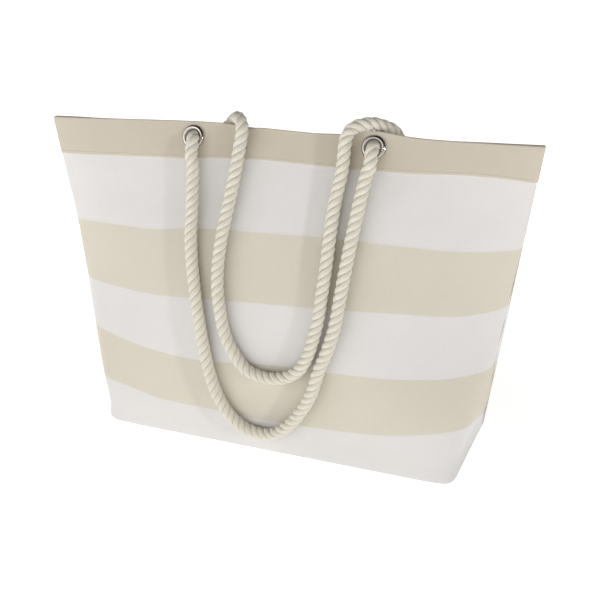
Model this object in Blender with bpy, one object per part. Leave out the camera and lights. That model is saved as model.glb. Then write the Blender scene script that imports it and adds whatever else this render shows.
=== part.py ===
"""Striped canvas beach bag with two rope handles: two panels that close at a straight
rim and stand on a boxed base, four eyelets, and two ropes knotted inside them."""

import math

import bpy
from mathutils import Vector

# Driving dimensions, in metres. The front faces -Y, and the base stands on z = 0.
PANEL_WIDTH = 0.546          # one canvas panel at the rim, from side seam to side seam
PANEL_TAPER = 0.023          # share of its width that a panel loses from rim to base
RIM_HEIGHT = 0.355           # top of the canvas above the ground
RIM_HALF_DEPTH = 0.0070      # half of the nearly closed mouth
BASE_HALF_DEPTH = 0.0625
FULLNESS = 0.42              # how far the walls bulge between rim and base
RIM_SQUARENESS = 2.0         # a lens-like section at the rim
BASE_SQUARENESS = 16.0       # a rounded rectangle at the base
SEAM_FOOT = 0.2315           # from the bag's middle to the foot of each side seam
CORNER_LIFT = 0.045          # height of that foot: the boxed corner is pulled up there
BASE_SKEW = 0.0375           # how far forward the base lies, per metre to the right
BACK_RIM_SAG = 0.004         # the back rim hangs a little lower between its corners

CANVAS = 0.0014              # panel cloth
BAND_CLOTH = 0.0008          # the folded band round the rim
BASE_CLOTH = 0.0018
BAND_HEIGHT = 0.0365         # outside leg of the band, upright; the inside one is 2/3 of it
GAP = 0.0003                 # between pieces that touch
SEAM_HALF = 0.0029           # from the side seam's middle to the canvas's outer face

EYELET_SPACING = 0.198
FRONT_EYELET_SHIFT = 0.008   # middle of the front pair, from the bag's middle
BACK_EYELET_SHIFT = 0.029
EYELET_DROP = 0.0155         # eyelet centre below the rim
EYELET_RADIUS = 0.0125
EYELET_HEIGHT = 0.0024
BORE_RADIUS = 0.0075
BARREL_RADIUS = 0.0085
CLOTH_HOLE_RADIUS = 0.0089
WASHER_RADIUS = 0.0115
WASHER_THICKNESS = 0.0010

ROPE_RADIUS = 0.0070
ROPE_CLEAR = 0.0006          # between a rope and what it lies on
KNOT_SWELL = 2.25            # knot radius over rope radius
PIVOT_CLEAR = 0.0006         # between a rope's round end and the next stretch

FLAT_REACH = 0.192           # cloth width from a wall's middle to where its corner begins
CORNER_REACH = 0.234         # and to where the corner ends
ROWS = 12                    # down one panel, below the band
SECTION_STEPS = 160          # along a quarter of a level section

OUTER = 0.0
PANEL_EDGE = PANEL_WIDTH / 2 - 0.0004
BAND_OUTSIDE = GAP + BAND_CLOTH
FLANGE_SEAT = BAND_OUTSIDE + 0.0004
PIVOT_RISE = FLANGE_SEAT + EYELET_HEIGHT + ROPE_RADIUS + ROPE_CLEAR

FRONT = -1
BACK = 1


def half_depth(t):
    """Half depth of the level section, t running from 0 at the rim to 1 at the base."""
    swell = t + FULLNESS * math.sin(math.pi * t)
    return RIM_HALF_DEPTH + (BASE_HALF_DEPTH - RIM_HALF_DEPTH) * swell


def squareness(t):
    """Exponent of the section's superellipse."""
    shoulder = 0.4 * math.sin(math.pi * t / 2) ** 2
    return RIM_SQUARENESS + shoulder + (BASE_SQUARENESS - RIM_SQUARENESS - 0.4) * t ** 7


def quarter_section(half_width, depth, power, seam):
    """Points of a quarter section, from the side seam to the middle of the wall."""
    points = [(half_width, 0.0)]
    for step in range(SECTION_STEPS + 1):
        angle = math.pi / 2 * step / SECTION_STEPS
        x = half_width * max(math.cos(angle), 0.0) ** (2 / power)
        y = seam + (depth - seam) * math.sin(angle) ** (2 / power)
        points.append((x, y))
    return points


def path_length(points):
    return sum(math.dist(a, b) for a, b in zip(points, points[1:]))


def solve_half_width(t):
    """Half width that keeps the girth at two panel widths."""
    length = PANEL_WIDTH / 2 * (1 - PANEL_TAPER * t)
    low, high = 0.1, 0.3
    for _ in range(40):
        middle = (low + high) / 2
        section = quarter_section(middle, half_depth(t), squareness(t), SEAM_HALF)
        if path_length(section) > length:
            high = middle
        else:
            low = middle
    return low


_widths = {}
_sections = {}


def half_width(t):
    if t not in _widths:
        _widths[t] = solve_half_width(t)
    return _widths[t]


def section_run(t, out):
    """Quarter section at t, offset outward, with the running length at each point."""
    if (t, out) not in _sections:
        points = quarter_section(
            half_width(t) + out, half_depth(t) + out, squareness(t), SEAM_HALF + out
        )
        run = [0.0]
        for a, b in zip(points, points[1:]):
            run.append(run[-1] + math.dist(a, b))
        _sections[(t, out)] = (points, run)
    return _sections[(t, out)]


def seam_reach(z):
    """Distance of a side seam from the bag's middle; it runs straight down to its foot."""
    share = (RIM_HEIGHT - z) / (RIM_HEIGHT - CORNER_LIFT)
    return half_width(0.0) + (SEAM_FOOT - half_width(0.0)) * share


def corner_shift(x, y, t):
    """Shift of a point of the outer section at t: the boxed corner's pull, and the skew."""
    reach = min(max(abs(x) / half_width(t) - 0.5, 0.0) / 0.5, 1.0)
    pull = reach ** 4 * max(1 - abs(y) / half_depth(t), 0.0)
    rise = CORNER_LIFT * t ** 6
    spread = seam_reach(RIM_HEIGHT * (1 - t) + rise) - half_width(t)
    return Vector((math.copysign(spread * pull, x), -BASE_SKEW * x * t ** 2, rise * pull))


def section_place(t, w, out=OUTER):
    """Place on the level section at a cloth width w from the wall's middle."""
    points, run = section_run(t, out)
    target = run[-1] * (1 - abs(w) / (PANEL_WIDTH / 2))
    index = 1
    while index < len(run) - 1 and run[index] < target:
        index += 1
    share = (target - run[index - 1]) / (run[index] - run[index - 1])
    x = points[index - 1][0] + share * (points[index][0] - points[index - 1][0])
    y = points[index - 1][1] + share * (points[index][1] - points[index - 1][1])
    return math.copysign(x, w), y


def cloth_point(side, t, w, out=OUTER):
    """Point of a panel: w is the cloth's own width from its middle, out its offset."""
    x, y = section_place(t, w, out)
    outer_x, outer_y = section_place(t, w)
    point = Vector((x, side * y, RIM_HEIGHT * (1 - t)))
    point += corner_shift(outer_x, side * outer_y, t)
    if side == BACK:
        point.z -= BACK_RIM_SAG * (1 - t) ** 2 * (1 - (w / (PANEL_WIDTH / 2)) ** 2)
    return point


def wall_point(side, x, z, away=0.0):
    """Point off the wall's outer face at a given x and z, away along the wall's normal."""

    def face_y(px, pz):
        t = 1 - pz / RIM_HEIGHT
        power = squareness(t)
        reach = min(abs(px) / half_width(round(t, 6)), 1.0)
        share = (1 - reach ** power) ** (1 / power)
        depth = SEAM_HALF + (half_depth(t) - SEAM_HALF) * share
        return side * depth - BASE_SKEW * px * t ** 2

    step = 0.0005
    y = face_y(x, z)
    slope_x = (face_y(x + step, z) - face_y(x - step, z)) / (2 * step)
    slope_z = (y - face_y(x, z - step)) / step
    normal = side * Vector((-slope_x, 1.0, -slope_z)).normalized()
    return Vector((x, y, z)) + normal * away, normal


# ------------------------------------------------------------------ materials


def material(name, colour, roughness, metallic=0.0):
    mat = bpy.data.materials.new(name)
    mat.use_nodes = True
    shader = mat.node_tree.nodes["Principled BSDF"]
    shader.inputs["Base Color"].default_value = (*colour, 1.0)
    shader.inputs["Roughness"].default_value = roughness
    shader.inputs["Metallic"].default_value = metallic
    return mat


# ------------------------------------------------------------------ mesh helpers


def add_mesh(name, verts, faces, mat, smooth_angle=40.0):
    mesh = bpy.data.meshes.new(name)
    mesh.from_pydata([tuple(v) for v in verts], [], faces)
    mesh.validate()
    mesh.shade_smooth()
    mesh.set_sharp_from_angle(angle=math.radians(smooth_angle))
    mesh.materials.append(mat)
    obj = bpy.data.objects.new(name, mesh)
    bpy.context.scene.collection.objects.link(obj)
    return obj


def closed_shell(name, face_a, face_b, mat, flip=False):
    """Solid between two grids of the same size; face_a is the outer one.

    Each quad is split from its upper corner nearest the grid's middle, so that layers
    of cloth that lie on each other are split alike.
    """
    rows, columns = len(face_a), len(face_a[0])
    verts = [p for row in face_a for p in row] + [p for row in face_b for p in row]
    layer = rows * columns
    faces = []
    for row in range(rows - 1):
        upper = row if face_a[row][0].z >= face_a[row + 1][0].z else row + 1
        for column in range(columns - 1):
            near = column + 1 if 2 * column < columns - 1 else column
            quad = [(row, column), (row, column + 1), (row + 1, column + 1), (row + 1, column)]
            start = quad.index((upper, near))
            a, b, c, d = [r * columns + k for r, k in quad[start:] + quad[:start]]
            faces += [(a, b, c), (a, c, d)]
            faces += [(layer + c, layer + b, layer + a), (layer + d, layer + c, layer + a)]
    border = [(0, c) for c in range(columns)]
    border += [(r, columns - 1) for r in range(1, rows)]
    border += [(rows - 1, c) for c in range(columns - 2, -1, -1)]
    border += [(r, 0) for r in range(rows - 2, 0, -1)]
    edge = [r * columns + c for r, c in border]
    for here, after in zip(edge, edge[1:] + edge[:1]):
        faces.append((after, here, layer + here, layer + after))
    if flip:
        faces = [tuple(reversed(face)) for face in faces]
    return add_mesh(name, verts, faces, mat)


def turned(name, profile, centre, axis, mat, steps=32):
    """Closed ring turned round an axis; profile is (radius, height) going round it."""
    along = Vector(axis).normalized()
    across = along.orthogonal().normalized()
    third = along.cross(across)
    verts, faces = [], []
    for step in range(steps):
        angle = 2 * math.pi * step / steps
        spoke = across * math.cos(angle) + third * math.sin(angle)
        for radius, height in profile:
            verts.append(Vector(centre) + spoke * radius + along * height)
    count = len(profile)
    for step in range(steps):
        after = (step + 1) % steps
        for index in range(count):
            following = (index + 1) % count
            faces.append([
                step * count + index, after * count + index,
                after * count + following, step * count + following,
            ])
    return add_mesh(name, verts, faces, mat)


def cut_hole(obj, centre, axis, radius, length=0.03):
    """Round hole through a cloth solid, along the axis."""
    cutter_name = obj.name + "_cutter_" + str(len(obj.modifiers))
    along = Vector(axis).normalized()
    across = along.orthogonal().normalized()
    third = along.cross(across)
    steps = 24
    verts, faces = [], []
    for end in (-0.5, 0.5):
        for step in range(steps):
            angle = 2 * math.pi * step / steps
            spoke = across * math.cos(angle) + third * math.sin(angle)
            verts.append(Vector(centre) + spoke * radius + along * (length * end))
    faces.append(list(reversed(range(steps))))
    faces.append(list(range(steps, 2 * steps)))
    for step in range(steps):
        after = (step + 1) % steps
        faces.append([step, after, steps + after, steps + step])
    cutter = add_mesh(cutter_name, verts, faces, obj.data.materials[0])
    cutter.hide_render = True
    cutter.display_type = "WIRE"
    boolean = obj.modifiers.new("eyelet_hole", "BOOLEAN")
    boolean.operation = "DIFFERENCE"
    boolean.object = cutter


def smooth_route(points, spacing):
    """Even points on a smooth curve through the route's own points."""
    ends = [2 * points[0] - points[1]] + points + [2 * points[-1] - points[-2]]
    dense = []
    steps = 24
    for a, b, c, d in zip(ends, ends[1:], ends[2:], ends[3:]):
        for step in range(steps):
            s = step / steps
            dense.append(0.5 * (
                2 * b + (c - a) * s + (2 * a - 5 * b + 4 * c - d) * s * s
                + (3 * b - a - 3 * c + d) * s ** 3
            ))
    dense.append(points[-1])
    total = sum((q - p).length for p, q in zip(dense, dense[1:]))
    count = max(round(total / spacing), 2)
    even, run, index = [dense[0]], 0.0, 0
    for number in range(1, count):
        target = total * number / count
        while run + (dense[index + 1] - dense[index]).length < target:
            run += (dense[index + 1] - dense[index]).length
            index += 1
        step = (dense[index + 1] - dense[index])
        even.append(dense[index] + step * ((target - run) / step.length))
    return even + [dense[-1]]


def rope(name, points, mat, swell=None, pivot=None):
    """Plain round rope along its points; swell gives each point its share of the radius."""
    curve = bpy.data.curves.new(name, "CURVE")
    curve.dimensions = "3D"
    curve.bevel_depth = ROPE_RADIUS
    curve.bevel_resolution = 4
    curve.use_fill_caps = True
    curve.render_resolution_u = 0
    spline = curve.splines.new("POLY")
    spline.points.add(len(points) - 1)
    origin = Vector(pivot) if pivot else Vector((0, 0, 0))
    for index, point in enumerate(points):
        spline.points[index].co = (*(point - origin), 1.0)
        spline.points[index].radius = swell[index] if swell else 1.0
    spline.use_smooth = True
    curve.materials.append(mat)
    obj = bpy.data.objects.new(name, curve)
    obj.location = origin
    bpy.context.scene.collection.objects.link(obj)
    return obj


# ------------------------------------------------------------------ cloth pieces


def column_widths():
    """Widths of a panel's columns from its middle, closer together round the corners."""
    steps = [(0.0, FLAT_REACH, 9), (FLAT_REACH, CORNER_REACH, 7), (CORNER_REACH, PANEL_EDGE, 4)]
    right = [start + (end - start) * k / count for start, end, count in steps for k in range(count)]
    right.append(PANEL_EDGE)
    return [-w for w in reversed(right[1:])] + right


def band_levels(steps):
    """Levels down one leg of the rim band, in thirds of its height."""
    return [BAND_HEIGHT / RIM_HEIGHT * step / 3 for step in range(steps + 1)]


def panel(name, side, mat):
    upper = band_levels(3)
    levels = upper + [upper[-1] + (1 - upper[-1]) * (row + 1) / ROWS for row in range(ROWS)]
    outer = [[cloth_point(side, t, w) for w in column_widths()] for t in levels]
    inner = [[cloth_point(side, t, w, -CANVAS) for w in column_widths()] for t in levels]
    return closed_shell(name, outer, inner, mat, flip=side == FRONT)


def rim_band(name, side, mat):
    """Strip folded over the panel's top edge, hanging down both its faces."""
    outside_levels = list(reversed(band_levels(3)))
    inside_levels = band_levels(2)

    def leg(levels, out):
        return [[cloth_point(side, t, w, out) for w in column_widths()] for t in levels]

    def lifted(row, rise):
        return [p + Vector((0, 0, rise)) for p in row]

    def folded(outside, inside, rise):
        over = leg(outside_levels, outside)
        back = leg(inside_levels, inside)
        over[-1] = lifted(over[-1], rise)
        back[0] = lifted(back[0], rise)
        return over + back

    outer = folded(BAND_OUTSIDE, -CANVAS - BAND_OUTSIDE, BAND_OUTSIDE)
    inner = folded(GAP, -CANVAS - GAP, GAP)
    return closed_shell(name, outer, inner, mat, flip=side == BACK)


def base_panel(name, mat):
    """Bottom of the bag: rings of points between its outline and its middle."""
    widths = column_widths()
    outline = [(section_place(1.0, w, -CANVAS - GAP), section_place(1.0, w), -1) for w in widths]
    outline += [(inner, outer, 1) for inner, outer, _ in reversed(outline)]
    shares = (1.0, 0.97, 0.93, 0.88, 0.8, 0.65, 0.4)
    count = len(outline)
    verts, faces = [], []
    for rise in (0.0, BASE_CLOTH):
        for share in shares:
            for (x, y), (outer_x, outer_y), side in outline:
                shift = corner_shift(outer_x * share, side * outer_y * share, 1.0)
                verts.append(Vector((x * share, side * y * share, rise)) + shift)
        verts.append((0, 0, rise))
    layer = len(shares) * count + 1
    for ring in range(len(shares) - 1):
        for k in range(count):
            after = (k + 1) % count
            quad = [ring * count + k, ring * count + after,
                    (ring + 1) * count + after, (ring + 1) * count + k]
            faces.append(list(reversed(quad)))
            faces.append([layer + v for v in quad])
    last = (len(shares) - 1) * count
    for k in range(count):
        after = (k + 1) % count
        faces.append([last + after, last + k, layer - 1])
        faces.append([layer + last + k, layer + last + after, 2 * layer - 1])
        faces.append([k, after, layer + after, layer + k])
    return add_mesh(name, verts, faces, mat)


def side_seam(name, hand, mat):
    """Sewn ridge down the side, from under the rim band to the boxed corner."""
    start = (BAND_HEIGHT + 0.003) / RIM_HEIGHT
    half, depth = 0.0024, 0.0018
    near, far = [], []
    for row in range(ROWS + 1):
        t = start + (0.985 - start) * row / ROWS
        edge = cloth_point(FRONT, t, hand * PANEL_WIDTH / 2)
        for line, out in ((near, 2 * GAP), (far, 2 * GAP + depth)):
            line.append([edge + Vector((hand * out, y, 0)) for y in (-half, half)])
    return closed_shell(name, far, near, mat, flip=hand > 0)


def corner_seam(name, hand, mat):
    """Bound seam allowance standing on the base inside a boxed corner."""
    widths = [w for w in column_widths() if w >= CORNER_REACH - 0.001]
    outside = -CANVAS - 4 * GAP
    inside = outside - 0.0012
    bottom, top = BASE_CLOTH + 0.0008, BASE_CLOTH + 0.0080

    def line(out, rise):
        front = [cloth_point(FRONT, 1.0, hand * w, out) for w in widths]
        back = [cloth_point(BACK, 1.0, hand * w, out) for w in reversed(widths)]
        return [p + Vector((0, 0, rise)) for p in front + back]

    outer = [line(outside, bottom), line(outside, top)]
    inner = [line(inside, bottom), line(inside, top)]
    return closed_shell(name, outer, inner, mat, flip=hand < 0)


# ------------------------------------------------------------------ eyelets


def eyelet_places(side):
    shift = FRONT_EYELET_SHIFT if side == FRONT else BACK_EYELET_SHIFT
    height = RIM_HEIGHT - EYELET_DROP
    places = {}
    for hand, word in ((-1, "left"), (1, "right")):
        x = shift + hand * EYELET_SPACING / 2
        sag = BACK_RIM_SAG * (1 - (x / (PANEL_WIDTH / 2)) ** 2) if side == BACK else 0.0
        centre, normal = wall_point(side, x, height)
        places[word] = (centre - Vector((0, 0, sag)), normal)
    return places


def eyelet(name, centre, axis, mat):
    """Rolled flange outside, and the barrel through the band and the canvas."""
    crown = FLANGE_SEAT + EYELET_HEIGHT
    tail = -(CANVAS + BAND_OUTSIDE + WASHER_THICKNESS + 0.0018)
    middle = (BORE_RADIUS + EYELET_RADIUS) / 2
    reach = (EYELET_RADIUS - BORE_RADIUS) / 2
    profile = [(BARREL_RADIUS, tail), (BARREL_RADIUS, FLANGE_SEAT), (EYELET_RADIUS, FLANGE_SEAT)]
    for step in range(1, 8):
        angle = math.pi * step / 8
        profile.append((middle + reach * math.cos(angle),
                        FLANGE_SEAT + 0.0004 + (crown - FLANGE_SEAT - 0.0004) * math.sin(angle)))
    profile += [(BORE_RADIUS, FLANGE_SEAT), (BORE_RADIUS, tail)]
    return turned(name, profile, centre, axis, mat)


def washer(name, centre, axis, mat):
    """Ring that the barrel is set over, inside the bag."""
    seat = -(CANVAS + BAND_OUTSIDE + 0.0005)
    hole = BARREL_RADIUS + GAP
    profile = [
        (hole, seat), (hole, seat - WASHER_THICKNESS),
        (WASHER_RADIUS, seat - WASHER_THICKNESS), (WASHER_RADIUS, seat),
    ]
    return turned(name, profile, centre, axis, mat)


# ------------------------------------------------------------------ ropes

# Where the ropes lie on the front wall: (x, z) from the left eyelet round to the right.
FRONT_ROPE_LIE = [
    (-0.0900, 0.3170), (-0.0875, 0.2985), (-0.0850, 0.2740), (-0.0840, 0.2485),
    (-0.0820, 0.2230), (-0.0780, 0.1920), (-0.0720, 0.1530), (-0.0645, 0.1070),
    (-0.0565, 0.0755), (-0.0450, 0.0515), (-0.0285, 0.0345), (-0.0110, 0.0280),
    (0.0075, 0.0285), (0.0245, 0.0385), (0.0415, 0.0585), (0.0570, 0.0860),
    (0.0655, 0.1145), (0.0750, 0.1400), (0.0820, 0.1670), (0.0860, 0.1975),
    (0.0895, 0.2240), (0.0940, 0.2570), (0.0990, 0.2895), (0.1040, 0.3170),
]
BACK_ROPE_LIE = [
    (-0.0350, 0.3290), (-0.0390, 0.2965), (-0.0465, 0.2535), (-0.0495, 0.2280),
    (-0.0505, 0.2015), (-0.0480, 0.1745), (-0.0400, 0.1390), (-0.0225, 0.1105),
    (-0.0065, 0.1010), (0.0120, 0.0990), (0.0305, 0.1035), (0.0455, 0.1150),
    (0.0540, 0.1315), (0.0585, 0.1455), (0.0640, 0.1720), (0.0665, 0.1975),
    (0.0690, 0.2220), (0.0710, 0.2545), (0.0735, 0.2875), (0.0785, 0.3190),
]
# The back rope's two bends over the rim: the rear one and the one in front of it.
REAR_BEND_X = {"left": -0.0500, "right": 0.1205}
FORE_BEND_X = {"left": -0.0360, "right": 0.0900}
REAR_BEND_Y = 0.0155
FORE_BEND_Y = -0.0145
BEND_Z = RIM_HEIGHT + 0.0093
KNOT_SPREAD = 0.013


def front_pivot(word):
    """The front rope's bend in front of its eyelet; both lie on one line along X."""
    places = eyelet_places(FRONT)
    points = [centre + normal * PIVOT_RISE for centre, normal in places.values()]
    return Vector((places[word][0].x, sum(p.y for p in points) / 2, sum(p.z for p in points) / 2))


def rear_bend(word):
    return Vector((REAR_BEND_X[word], REAR_BEND_Y, BEND_Z))


def fore_bend(word):
    return Vector((FORE_BEND_X[word], FORE_BEND_Y, BEND_Z))


def lying(places):
    """Rope centres on the front wall, and on the rim band in its height."""
    band_reach = RIM_HEIGHT - BAND_HEIGHT - 0.010
    points = []
    for x, z in places:
        away = ROPE_RADIUS + ROPE_CLEAR + (BAND_OUTSIDE if z > band_reach else 0.0)
        points.append(wall_point(FRONT, x, z, away)[0])
    return points


def hanging_loop(left, right, places, left_lead, right_lead):
    """Rope from bend to bend, starting and ending a rope's radius clear of each."""
    clear = ROPE_RADIUS + PIVOT_CLEAR
    start = left + (left_lead - left).normalized() * clear
    end = right + (right_lead - right).normalized() * clear
    return smooth_route([start, left_lead] + lying(places) + [right_lead, end], 0.012)


def round_end(points, swell, radius_steps=4):
    """Adds a hemisphere beyond the last point of a straight rope end."""
    heading = (points[-1] - points[-2]).normalized()
    centre = points[-1]
    for step in range(1, radius_steps + 1):
        angle = math.pi / 2 * min(step / radius_steps, 0.97)
        points.append(centre + heading * ROPE_RADIUS * math.sin(angle))
        swell.append(math.cos(angle))


def knotted_tail(centre, normal, spread):
    """Rope inside the bag, from its knot's tail end up to the eyelet's inner mouth."""
    inward = -normal
    mouth = centre + inward * 0.006
    turn = centre + inward * 0.0125 + Vector((spread * 0.15, 0, -0.0035))
    neck = Vector((centre.x + spread * 0.5, turn.y * 0.35, centre.z - 0.0170))
    knot = Vector((centre.x + spread, 0.0, centre.z - 0.0360))
    tail = knot + Vector((spread * 0.35, 0, -0.0270))
    return [tail, knot, neck, turn, mouth]


def knot_swell(points, knot):
    """Radius share at each point: full round the knot, plain elsewhere."""
    shares = []
    for point in points:
        reach = min((point - knot).length / 0.0165, 1.0)
        shares.append(1.0 + (KNOT_SWELL - 1.0) * math.sqrt(max(1 - reach ** 2, 0.0)))
    return shares


def front_rope_end(name, word, mat):
    centre, normal = eyelet_places(FRONT)[word]
    inside = knotted_tail(centre, normal, -KNOT_SPREAD)
    pivot = front_pivot(word)
    route = smooth_route(inside + [centre + normal * 0.003, pivot], 0.0045)
    swell = knot_swell(route, inside[1])
    round_end(route, swell)
    return rope(name, route, mat, swell)


def back_rope_end(name, word, mat):
    centre, normal = eyelet_places(BACK)[word]
    inside = knotted_tail(centre, normal, KNOT_SPREAD)
    bend = rear_bend(word)
    crest = centre + normal * 0.0098
    sideways = (bend.x - centre.x)
    over = [
        centre + normal * 0.004,
        crest + Vector((sideways * 0.12, 0, 0.0035)),
        crest + Vector((sideways * 0.52, -0.0008, 0.0110)),
        bend,
    ]
    route = smooth_route(inside + over, 0.0040)
    swell = knot_swell(route, inside[1])
    round_end(route, swell)
    return rope(name, route, mat, swell)


def rim_bend(name, word, mat):
    """The back rope's stretch across the rim, turning about its rear bend."""
    rear, fore = rear_bend(word), fore_bend(word)
    heading = (fore - rear).normalized()
    start = rear + heading * (ROPE_RADIUS + PIVOT_CLEAR)
    steps = 4
    points = [start + (fore - start) * (step / steps) for step in range(steps + 1)]
    swell = [1.0] * len(points)
    round_end(points, swell)
    return rope(name, points, mat, swell, pivot=rear)


def front_handle(name, mat):
    left, right = front_pivot("left"), front_pivot("right")
    down = wall_point(FRONT, left.x, left.z)[1].cross(Vector((-1, 0, 0))).normalized()
    lead = down * 0.0170
    loop = hanging_loop(left, right, FRONT_ROPE_LIE, left + lead, right + lead)
    return rope(name, loop, mat, pivot=left)


def back_handle(name, mat):
    left, right = fore_bend("left"), fore_bend("right")
    lead = Vector((0, -0.0075, -0.0185))
    loop = hanging_loop(
        left, right, BACK_ROPE_LIE, left + lead, right + lead + Vector((-0.0050, 0, 0))
    )
    return rope(name, loop, mat, pivot=left)


# ------------------------------------------------------------------ the bag


def build():
    for obj in list(bpy.data.objects):
        bpy.data.objects.remove(obj, do_unlink=True)

    white = material("striped_canvas", (0.80, 0.78, 0.75), 0.85)
    beige = material("beige_canvas", (0.66, 0.60, 0.50), 0.85)
    tape = material("seam_tape", (0.62, 0.58, 0.52), 0.8)
    nickel = material("eyelet_nickel", (0.74, 0.74, 0.74), 0.18, 1.0)
    cotton = material("cotton_rope", (0.74, 0.69, 0.58), 0.9)

    for side, word in ((FRONT, "front"), (BACK, "back")):
        cloth = [panel(word + "_panel", side, white), rim_band(word + "_rim_band", side, beige)]
        for hand, (centre, normal) in eyelet_places(side).items():
            for piece in cloth:
                cut_hole(piece, centre, normal, CLOTH_HOLE_RADIUS)
            eyelet(f"{word}_{hand}_eyelet", centre, normal, nickel)
            washer(f"{word}_{hand}_eyelet_washer", centre, normal, nickel)
    base_panel("base_panel", white)
    for hand, word in ((-1, "left"), (1, "right")):
        side_seam(word + "_side_seam", hand, tape)
        corner_seam(word + "_corner_seam", hand, tape)
        front_rope_end("front_rope_end_" + word, word, cotton)
        back_rope_end("back_rope_end_" + word, word, cotton)
        rim_bend("back_rope_over_rim_" + word, word, cotton)
    front_handle("front_handle_rope", cotton)
    back_handle("back_handle_rope", cotton)


build()
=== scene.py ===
"""Striped canvas beach bag with rope handles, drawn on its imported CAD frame."""

import math

import bpy
import numpy as np
from mathutils import Matrix, Vector, noise


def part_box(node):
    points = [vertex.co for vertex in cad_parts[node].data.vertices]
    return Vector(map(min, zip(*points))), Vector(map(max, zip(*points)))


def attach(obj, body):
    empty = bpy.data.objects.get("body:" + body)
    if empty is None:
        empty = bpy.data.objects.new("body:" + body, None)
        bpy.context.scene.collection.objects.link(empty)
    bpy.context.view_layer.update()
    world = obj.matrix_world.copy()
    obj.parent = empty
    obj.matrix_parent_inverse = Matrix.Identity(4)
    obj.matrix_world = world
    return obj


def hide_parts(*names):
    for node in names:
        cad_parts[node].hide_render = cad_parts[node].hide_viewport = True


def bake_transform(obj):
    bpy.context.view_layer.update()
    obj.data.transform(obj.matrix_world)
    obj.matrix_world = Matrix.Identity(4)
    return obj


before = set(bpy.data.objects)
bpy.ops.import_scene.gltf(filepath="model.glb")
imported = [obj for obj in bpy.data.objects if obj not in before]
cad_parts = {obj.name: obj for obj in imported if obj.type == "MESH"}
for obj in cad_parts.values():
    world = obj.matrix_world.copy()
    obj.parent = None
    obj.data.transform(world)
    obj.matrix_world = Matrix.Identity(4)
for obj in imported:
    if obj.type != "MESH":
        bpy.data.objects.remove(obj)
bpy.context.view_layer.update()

# -------------------- the bag's own sizes, in metres

RIM_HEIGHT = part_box("front_panel")[1].z
RIM_HALF_DEPTH = 0.0070
BASE_HALF_DEPTH = 0.0625
PANEL_WIDTH = 0.546          # along the cloth
PANEL_TAPER = 0.023          # share of its width that a panel loses from rim to base
PANEL_EDGE = PANEL_WIDTH / 2 - 0.0004
FULLNESS = 0.42              # how far the walls bulge between rim and base
RIM_SQUARENESS = 2.0
BASE_SQUARENESS = 21.0
SHOULDER = 0.4               # squareness that the walls gain on their way down
BASE_DRAW = 0.016            # share of its width that a panel loses in the base's corners
SEAM_FOOT = 0.2315           # from the bag's middle to the foot of each side seam
CORNER_LIFT = 0.045          # height of that foot
BASE_SKEW = 0.0375           # how far forward the base lies, per metre to the right
BACK_RIM_SAG = 0.004
SEAM_HALF = 0.0029           # half the side seam's width
RIDGE_HALF = 0.0019          # half the width of the ridge on it
RIDGE_RISE = 0.0006

CANVAS = 0.0014              # thickness of the panels and the base
BAND_CLOTH = 0.0008          # thickness of the rim band
BAND_HEIGHT = 0.0365
BAND_INSIDE = BAND_HEIGHT * 2 / 3
GAP = 0.0003                 # between one layer and the next
BAND_OUTSIDE = GAP + BAND_CLOTH
BOTTOM_FOLD = 0.0012         # radius of the fold where a wall meets the base
BASE_RISE = 0.0004           # base cloth's underside above the ground
WALL_LENGTH = 0.372          # rim to base along the cloth

STITCH_PITCH = 0.0038
STITCH_LENGTH = 0.0029
STITCH_RADIUS = 0.00028

FRONT, BACK = -1, 1
SIDE_NAME = {FRONT: "front", BACK: "back"}
HANDS = ((-1, "left"), (1, "right"))

EYELET_SPACING = 0.198
EYELET_SHIFT = {FRONT: 0.008, BACK: 0.029}   # how far right of the middle each pair sits
EYELET_DROP = 0.0142         # from the rim's top down to an eyelet's middle
EYELET_RADIUS = 0.0125
EYELET_HEIGHT = 0.0024
BORE_RADIUS = 0.0075
FLANGE_SEAT = BAND_OUTSIDE + 0.0004
WASHER_RADIUS = 0.0115
WASHER_THICKNESS = 0.0010

ROPE_RADIUS = 0.0070
ROPE_LAY = 0.0265            # one strand's full turn round the rope
PIVOT_RISE = FLANGE_SEAT + EYELET_HEIGHT + ROPE_RADIUS + 0.0006
REAR_BEND = {"left": (-0.0530, 0.0110, 0.3590), "right": (0.1175, 0.0110, 0.3570)}
CREST = {"left": (-0.0420, -0.0030, 0.3640), "right": (0.1000, -0.0030, 0.3638)}
FORE_BEND = {"left": (-0.0325, -0.0160, 0.3570), "right": (0.0815, -0.0160, 0.3560)}
KNOT_SPREAD = 0.013
ROPE_REST = 0.0002           # between a lying rope and the cloth
DENT_REACH = 0.011           # half width of the dent that the back rope makes in each rim
RIM_DENT = 0.0025
BACK_PINCH = 0.0040

# The rim stands a little higher at the left eyelet and hangs lower to the right; its band
# is wider at both ends. Heights in metres at some places across the bag.
RIM_PLACES = (-0.270, -0.210, -0.133, -0.091, -0.056, -0.027, 0.017, 0.049,
              0.070, 0.100, 0.120, 0.138, 0.165, 0.225, 0.270)
RIM_LIFTS = (0.0, 0.0008, 0.0023, 0.0028, 0.0022, 0.0, -0.0026, -0.0040,
             -0.0028, 0.0015, 0.0, -0.0028, -0.0049, -0.0060, -0.0068)
BAND_PLACES = (-0.270, -0.210, -0.130, -0.105, -0.050, -0.024, 0.021, 0.053,
               0.075, 0.100, 0.126, 0.186, 0.233, 0.270)
BAND_HEIGHTS = (0.0392, 0.0375, 0.0361, 0.0361, 0.0323, 0.0299, 0.0296, 0.0300,
                0.0320, 0.0358, 0.0345, 0.0306, 0.0315, 0.0348)

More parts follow.
